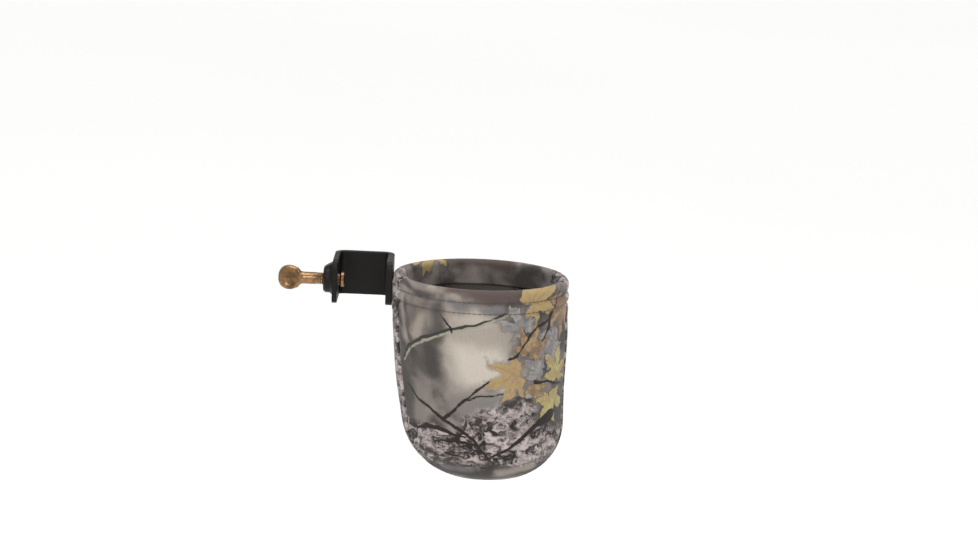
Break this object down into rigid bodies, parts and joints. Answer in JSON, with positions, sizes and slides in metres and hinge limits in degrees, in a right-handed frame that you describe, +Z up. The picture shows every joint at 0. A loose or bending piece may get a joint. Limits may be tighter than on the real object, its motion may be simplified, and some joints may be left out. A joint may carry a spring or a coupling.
{
  "type": "clamp-on drink holder pouch",
  "caption": "Padded cloth cup pouch on a steel hoop, carried by a small C-clamp that a spade-head thumb screw and pressure foot tighten on a post.",
  "frame": {"origin": "on the fixed jaw's gripping face, on the thumb screw's axis", "axes": "+X from the post towards the pouch, +Y towards the clamp's spine, +Z up out of the pouch's mouth"},
  "size_m": [0.1813, 0.1094, 0.1332],
  "materials": {
    "black_metal": "satin",
    "brass": "satin",
    "steel": "satin",
    "printed_cloth": "brushed, printed",
    "lining_cloth": "brushed, printed",
    "padding": "foam",
    "thread": "thread"
  },
  "bodies": {
    "holder": {"clamp_frame": "black_metal", "hoop_wire": "steel", "hoop_plate": "steel", "hoop_screws": "steel", "hoop_washers": "steel", "outer_front_panel": "printed_cloth", "outer_gusset": "printed_cloth", "outer_back_panel": "printed_cloth", "padding_wall": "padding", "padding_base": "padding", "lining_wall": "lining_cloth", "lining_base": "lining_cloth", "lining_seam": "thread", "hem_stitch_upper": "thread", "hem_stitch_lower": "thread", "seam_thread_front": "thread", "seam_thread_back": "thread"},
    "foot": {"pressure_foot": "brass"},
    "screw": {"thumb_screw": "brass", "foot_clip": "steel"}
  },
  "joints": [
    {"name": "foot_slide", "type": "slide", "parent": "holder", "child": "foot", "axis": [1, 0, 0], "range_m": [-0.00094, 0.01219]},
    {"name": "screw_turn", "type": "hinge", "parent": "foot", "child": "screw", "pos_m": [-0.03, 0, 0], "axis": [1, 0, 0], "range_deg": [-270, 3510]}
  ],
  "couplings": [
    {"joint": "foot_slide", "follows": "screw_turn", "m_per_rad": 0.00019894}
  ]
}
